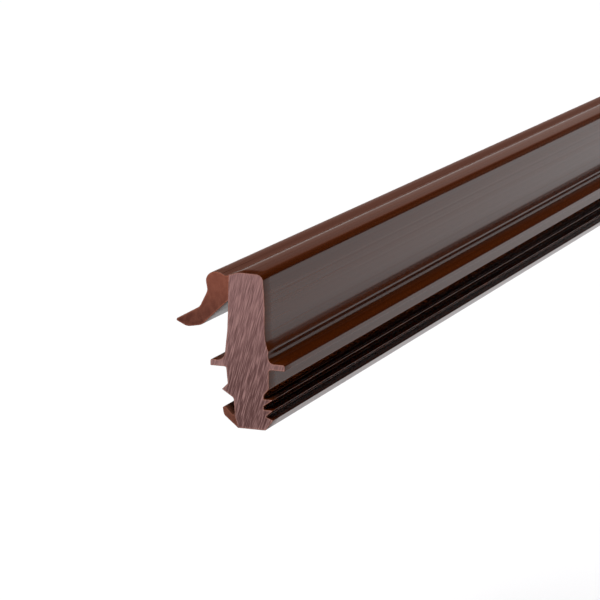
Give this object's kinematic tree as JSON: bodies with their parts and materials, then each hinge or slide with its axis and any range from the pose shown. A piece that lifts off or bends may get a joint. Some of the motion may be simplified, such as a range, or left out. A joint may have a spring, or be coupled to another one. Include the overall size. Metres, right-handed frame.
{
  "type": "door sweep",
  "caption": "Push-in door sealing strip with a barbed foot, stop flanges, a rigid body, a soft curved sealing lip and a soft heel fin.",
  "frame": {"origin": "on the slot's centre plane, in the plane on which the stop flanges rest, halfway along the strip", "axes": "+Y along the strip, +Z from the foot towards the rounded top of the body, +X away from the sealing lip"},
  "size_m": [0.0147, 0.2, 0.02],
  "materials": {
    "rigid_pvc": "gloss",
    "soft_pvc": "satin"
  },
  "bodies": {
    "profile": {"rigid_core": "rigid_pvc", "lip_root": "soft_pvc", "heel_root": "soft_pvc"},
    "lip": {"lip_blade": "soft_pvc"},
    "heel": {"heel_fin": "soft_pvc"}
  },
  "joints": [
    {"name": "lip_flex", "type": "hinge", "parent": "profile", "child": "lip", "pos_m": [-0.00471, 0, 0.00805], "axis": [0, -1, 0], "range_deg": [-12, 35], "stiffness_Nm_per_rad": 0.08},
    {"name": "heel_fin_flex", "type": "hinge", "parent": "profile", "child": "heel", "pos_m": [-0.00251, 0, -0.00619], "axis": [0, 1, 0], "range_deg": [-12, 25], "stiffness_Nm_per_rad": 0.02}
  ]
}
